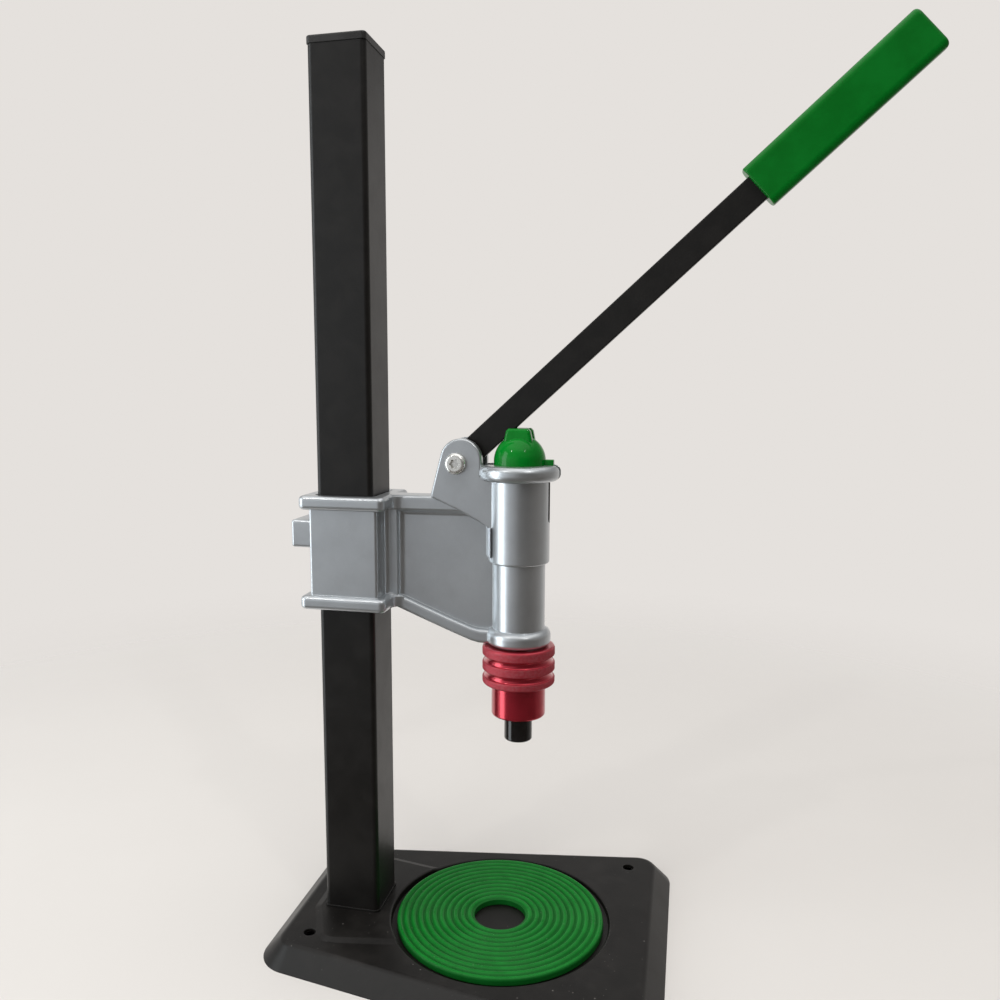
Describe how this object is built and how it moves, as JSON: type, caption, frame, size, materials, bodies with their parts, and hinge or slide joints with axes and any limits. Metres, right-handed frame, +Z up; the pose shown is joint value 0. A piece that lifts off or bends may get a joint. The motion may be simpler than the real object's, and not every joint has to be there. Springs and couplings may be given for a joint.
{
  "type": "capping machine",
  "caption": "Manual bench capping press: a long hand lever drives a sprung plunger and die down onto a bottle, and the head slides on a square column on a flat base.",
  "frame": {"origin": "on the column's axis, at the level of the bench top", "axes": "+Z up along the column, +X from the column to the ram and the operator, the machine's mid-plane is Y = 0"},
  "size_m": [0.4146, 0.2332, 0.6133],
  "materials": {
    "black_coat": "satin black powder coat",
    "black_plastic": "fine satin",
    "mat_green": "semi-gloss, turned ridges",
    "green_gloss": "gloss",
    "silver_paint": "satin metallic silver paint on a casting",
    "red_anodised": "deep red anodised, knurled bands",
    "collet_black": "gloss black",
    "zinc": "bright zinc plate",
    "bright_steel": "ground",
    "spring_steel": "oiled",
    "bronze": "sintered",
    "nylon": "natural"
  },
  "bodies": {
    "stand": {"base_plate": "black_coat", "backing_plate": "black_coat", "bottle_mat": "mat_green", "column": "black_coat", "column_foot": "black_coat", "column_cap": "black_plastic", "column_bolts": "zinc", "bolt_washers": "zinc"},
    "head": {"head_casting": "silver_paint", "column_glides": "nylon", "pivot_bolt": "zinc", "pivot_nut": "zinc", "guide_bush": "bronze", "return_spring": "spring_steel", "lock_pin": "bright_steel", "lock_spring": "spring_steel"},
    "lever": {"lever_bar": "black_coat", "lever_grip": "green_gloss", "lever_bush": "bright_steel", "pivot_washers": "nylon"},
    "plunger": {"plunger_cap": "green_gloss", "plunger_rod": "bright_steel", "cap_nut": "zinc", "die_holder": "red_anodised", "die_sleeve": "red_anodised", "die_spring": "spring_steel"},
    "collet": {"collet": "collet_black"},
    "lock": {"lock_cam": "bright_steel"}
  },
  "joints": [
    {"name": "head_slide", "type": "slide", "parent": "stand", "child": "head", "axis": [0, 0, 1], "range_m": [-0.095, 0.285]},
    {"name": "lever_pivot", "type": "hinge", "parent": "head", "child": "lever", "pos_m": [0.0765, 0, 0.339], "axis": [0, 1, 0], "range_deg": [0, 50]},
    {"name": "plunger_slide", "type": "slide", "parent": "head", "child": "plunger", "axis": [0, 0, -1], "range_m": [0, 0.0341], "deforming": ["return_spring"]},
    {"name": "collet_slide", "type": "slide", "parent": "plunger", "child": "collet", "axis": [0, 0, 1], "range_m": [0, 0.006], "deforming": ["die_spring"]},
    {"name": "lock_turn", "type": "hinge", "parent": "head", "child": "lock", "pos_m": [-0.029, 0, 0.2914], "axis": [0, -1, 0], "range_deg": [0, 12], "deforming": ["lock_spring"]}
  ],
  "couplings": [
    {"joint": "plunger_slide", "follows": "lever_pivot", "m_per_rad": 0.039}
  ]
}
